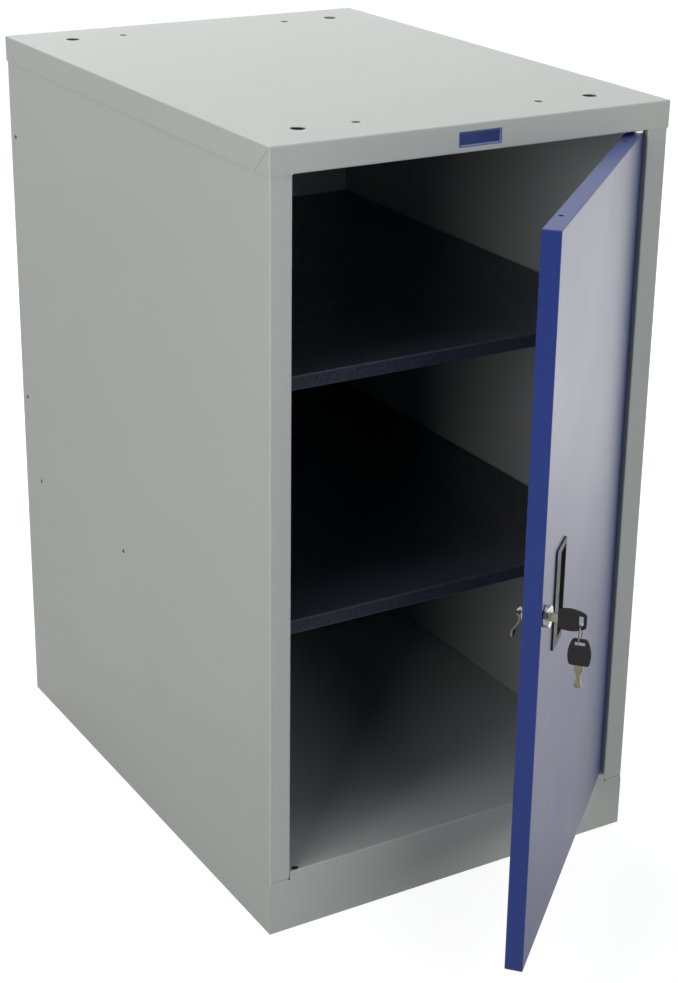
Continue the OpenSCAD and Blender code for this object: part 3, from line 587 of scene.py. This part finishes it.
def make_ring():
    """A split ring: two turns of flattened wire that lie against each other."""
    sides, per_turn = 12, 96
    half_radial, half_axial = RING_WIRE / 2, RING_WIRE / 4 * RING_FILL
    rows = []
    count = int(per_turn * RING_TURNS)
    for k in range(count + 1):
        angle = 2 * pi * k / per_turn
        # The wire steps from one layer to the other at the end of its first turn
        to_step = 2 * pi - angle
        layer = 1.0 if to_step <= 0 else max(0.0, 1 - to_step / RING_STEP)
        lift = (layer - 0.5) * RING_WIRE / 2
        taper = RING_END_TAPER if k in (0, count) else 1.0
        row = []
        for i in range(sides):
            a = 2 * pi * i / sides
            r = RING_R + taper * half_radial * cos(a)
            row.append((r * cos(angle), r * sin(angle), lift + taper * half_axial * sin(a)))
        rows.append(row)
    mesh = grid_mesh("key_ring_dressed", rows)
    close_ends(mesh)
    low, high = (Vector(corner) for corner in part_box("key_ring"))
    new_piece("key_ring_dressed", mesh, axes_at((low + high) / 2, DOOR_ALONG, UP, DOOR_OUT),
              "key_nickel", "ring", "key_ring")


def bow_half(z):
    """Half width of a bow at a distance z from its blade."""
    if z < BOW_WIDEST:
        return BOW_WIDTH / 2 - BOW_TAPER_IN * ((BOW_WIDEST - z) / BOW_WIDEST) ** 2
    return BOW_WIDTH / 2 - BOW_TAPER_OUT * ((z - BOW_WIDEST) / (BOW_LENGTH - BOW_WIDEST)) ** 2


def bow_outline(inset, steps=40):
    """The bow's outline in its own plane, drawn in by inset."""
    side = []
    for k in range(steps + 1):
        z = BOW_LENGTH * (1 - cos(pi * k / steps)) / 2
        end = min(z, BOW_LENGTH - z)
        corner = BOW_CORNER - (BOW_CORNER ** 2 - max(BOW_CORNER - end, 0.0) ** 2) ** 0.5
        shrunk = inset + z * (BOW_LENGTH - 2 * inset) / BOW_LENGTH
        side.append((bow_half(z) - corner - inset, shrunk))
    return side + [(-x, z) for x, z in reversed(side)]


def slot_outline(outset, steps=8):
    """The bow's slot, drawn out by outset."""
    middle = BOW_LENGTH - BOW_STRIP - BOW_SLOT[1] / 2
    width, height = BOW_SLOT[0] / 2 + outset, BOW_SLOT[1] / 2 + outset
    corners = rounded_box(width, height, BOW_SLOT_CORNER + outset, 0.0, steps)
    return [(x, middle + y) for x, y, _ in corners]


def flat_plate(name, outlines, thickness, edge):
    """A plate with rounded edges from closed outlines in its own plane; inner outlines are holes."""
    curve = bpy.data.curves.new(name, "CURVE")
    curve.dimensions = "2D"
    curve.fill_mode = "BOTH"
    curve.extrude = thickness / 2 - edge
    curve.bevel_depth = edge
    curve.bevel_resolution = 2
    curve.offset = -edge
    for outline in outlines:
        spline = curve.splines.new("POLY")
        spline.points.add(len(outline) - 1)
        for point, (x, y) in zip(spline.points, outline):
            point.co = (x, y, 0.0, 1.0)
        spline.use_cyclic_u = True
    obj = bpy.data.objects.new(name, curve)
    mesh = bpy.data.meshes.new_from_object(obj)
    bpy.data.objects.remove(obj)
    bpy.data.curves.remove(curve)
    return mesh


def bow_shape():
    """A moulded bow: a sunk panel inside a rounded rim, and a rim round the slot."""
    panel = flat_plate("panel", [bow_outline(BOW_PANEL_INSET), slot_outline(BOW_PANEL_INSET)],
                       BOW_PANEL_THICK, BOW_PANEL_EDGE)
    rim = flat_plate("rim", [bow_outline(0.0), bow_outline(BOW_RIM)], BOW_THICK, BOW_EDGE)
    eye = flat_plate("eye", [slot_outline(BOW_SLOT_RIM), slot_outline(0.0)], BOW_THICK, BOW_EDGE)
    return joined("bow_shape", [panel, rim, eye])


def make_bow(name, body, replaced, across, along):
    """The bow with its width along across and its length along along, from its CAD solid's blade end."""
    thick = across.cross(along)
    points = [vert.co for vert in nodes[replaced].data.vertices]

    def middle(axis):
        reach = [point.dot(axis) for point in points]
        return (min(reach) + max(reach)) / 2

    start = min(point.dot(along) for point in points)
    origin = across * middle(across) + thick * middle(thick) + along * start
    new_piece(name, bow_shape(), axes_at(origin, across, along, thick), "black_plastic", body, replaced)


# Floor, light and camera

FLOOR_HALF = 12.0
FLOOR_GREY = 0.32
WHITE = (1.0, 1.0, 1.0)
WARM_WHITE = (1.0, 0.98, 0.90)
AMBIENT = 0.035
BRIGHT_SIDE = (0.8, 0.6, 0.0)  # the way the studio is bright in reflections

# Ramps: from and to a place in metres or a direction's share, then the strength at either end
SEEN_FLOOR = (0.6, 2.0, 0.80, 1.0)
MIRRORED_NEAR_FLOOR = (-0.9, 0.3, 0.12, 0.75)
MIRRORED_FAR_FLOOR = (0.3, 1.5, 0.0, 1.05)
MIRRORED_ROOM = (-0.6, 0.5, 0.10, 1.0)
FOOT_MARGIN = 13 * MM

CAMERA_PLACE = (-1.0845, -1.8934, 1.2453)
CAMERA_RIGHT = (0.86190, -0.50691, 0.01322)
CAMERA_FORWARD = (0.47586, 0.79955, -0.36643)
CAMERA_LENS = 74.56
CAMERA_SHIFT = (-0.0055, -0.036)


def cad_footprint():
    """Half the width and half the depth of the cabinet, without its door."""
    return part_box("top_panel")[1][:2]


def make_floor():
    """A pale sweep that keeps the cabinet's soft shadow and goes white away from it; in reflections alone it
    glows, dim near and before the cabinet and bright behind it to the right, a painted reflection with painted
    shade near the cabinet.
    """
    mesh = bpy.data.meshes.new("floor")
    half = FLOOR_HALF
    corners = [(-half, -half, 0), (half, -half, 0), (half, half, 0), (-half, half, 0)]
    mesh.from_pydata(corners, [], [(0, 1, 2, 3)])
    floor = bpy.data.objects.new("floor", mesh)
    scene.collection.objects.link(floor)
    t = Coat("floor")
    path = t.add("ShaderNodeLightPath")
    away = t.add("ShaderNodeVectorMath", operation="LENGTH")
    t.wire(t.place, away.inputs[0])
    grain = t.noise(30.0, 4.0, 0.6)
    t.finish(t.mix(grain, shade(WHITE, FLOOR_GREY), shade(WHITE, FLOOR_GREY * 1.03)), 0.85)
    t.shader.inputs["Specular IOR Level"].default_value = 0.0
    glossy = path.outputs["Is Glossy Ray"]
    t.wire(t.mix(glossy, WHITE, WARM_WHITE), t.shader.inputs["Emission Color"])
    # No light under the cabinet, where the spare pivot holes look through to the ground
    beside = [t.ramp(t.math("ABSOLUTE", axis, 0.0), edge - FOOT_MARGIN, edge)
              for axis, edge in zip(t.split(t.place), cad_footprint())]
    seen = t.math("MULTIPLY", path.outputs["Is Camera Ray"], t.ramp(away.outputs["Value"], *SEEN_FLOOR))
    seen = t.math("MULTIPLY", seen, t.math("MAXIMUM", *beside))
    # Painted reflection: the floor glows only in reflections, dim near and before the cabinet as painted shade and
    # bright behind it to the right
    reach = t.dot(t.place, BRIGHT_SIDE)
    lit = t.math("ADD", t.ramp(reach, *MIRRORED_NEAR_FLOOR), t.ramp(reach, *MIRRORED_FAR_FLOOR))
    t.wire(t.math("ADD", seen, t.math("MULTIPLY", glossy, lit)), t.shader.inputs["Emission Strength"])
    mesh.materials.append(t.material)


def make_world():
    """White for what the camera sees; in reflections bright behind the cabinet and dark before it."""
    world = bpy.data.worlds.new("studio")
    scene.world = world
    world.use_nodes = True
    t = Tree(world.node_tree)
    back = t.tree.nodes["Background"]
    back.inputs["Color"].default_value = (*WHITE, 1.0)
    path = t.add("ShaderNodeLightPath")
    clear = t.math("MAXIMUM", path.outputs["Is Camera Ray"], path.outputs["Is Transmission Ray"])
    room = t.ramp(t.dot(t.towards, BRIGHT_SIDE), *MIRRORED_ROOM)
    glossy = t.math("MULTIPLY", path.outputs["Is Glossy Ray"], room)
    strength = t.math("MAXIMUM", t.math("MAXIMUM", clear, glossy), AMBIENT)
    t.wire(strength, back.inputs["Strength"])


def soft_box(name, azimuth, elevation, size, power, distance=2.6, mirrored=True):
    """A square soft box aimed at the cabinet's middle.

    azimuth 0 is the front and negative the left, in degrees; one that isn't mirrored lights the
    cabinet and shows in no reflection.
    """
    aim = Vector((0.0, 0.0, 0.45))
    a, e = radians(azimuth), radians(elevation)
    away = Vector((sin(a) * cos(e), -cos(a) * cos(e), sin(e)))
    light = bpy.data.lights.new(name, "AREA")
    light.shape = "SQUARE"
    light.size = size
    light.energy = power
    obj = bpy.data.objects.new(name, light)
    obj.location = aim + away * distance
    obj.rotation_euler = (-away).to_track_quat("-Z", "Y").to_euler()
    obj.visible_glossy = mirrored
    scene.collection.objects.link(obj)


def make_camera():
    """The photograph's view: a long lens, a little above the cabinet's top, to the left of its front."""
    right, forward = Vector(CAMERA_RIGHT).normalized(), Vector(CAMERA_FORWARD).normalized()
    data = bpy.data.cameras.new("camera")
    data.sensor_fit = "AUTO"
    data.sensor_width = 36.0
    data.lens = CAMERA_LENS
    data.shift_x, data.shift_y = CAMERA_SHIFT
    data.clip_start = 0.05
    camera = bpy.data.objects.new("camera", data)
    turn = Matrix((right, right.cross(forward), -forward)).transposed()
    camera.matrix_world = Matrix.Translation(CAMERA_PLACE) @ turn.to_4x4()
    scene.collection.objects.link(camera)
    scene.camera = camera


dress_solids()
make_badge()
make_lock()
make_rivets()
make_ring()
make_bow("key_bow_dressed", "key", "key_bow", UP, DOOR_OUT)
make_bow("spare_key_bow_dressed", "spare_key", "spare_key_bow", DOOR_OUT, UP)

make_floor()
make_world()
soft_box("left_low", -74, 24, 1.0, 24.0, mirrored=False)
soft_box("left_front", -54, 14, 1.0, 16.0, mirrored=False)
soft_box("front", 0, 15, 1.4, 28.0, mirrored=False)
soft_box("back_high", 180, 50, 1.4, 44.0, mirrored=False)
soft_box("back_right", 135, 30, 1.4, 14.0, mirrored=False)
soft_box("overhead", 0, 88, 2.4, 38.0, distance=3.0)
make_camera()
scene.view_settings.view_transform = "Standard"
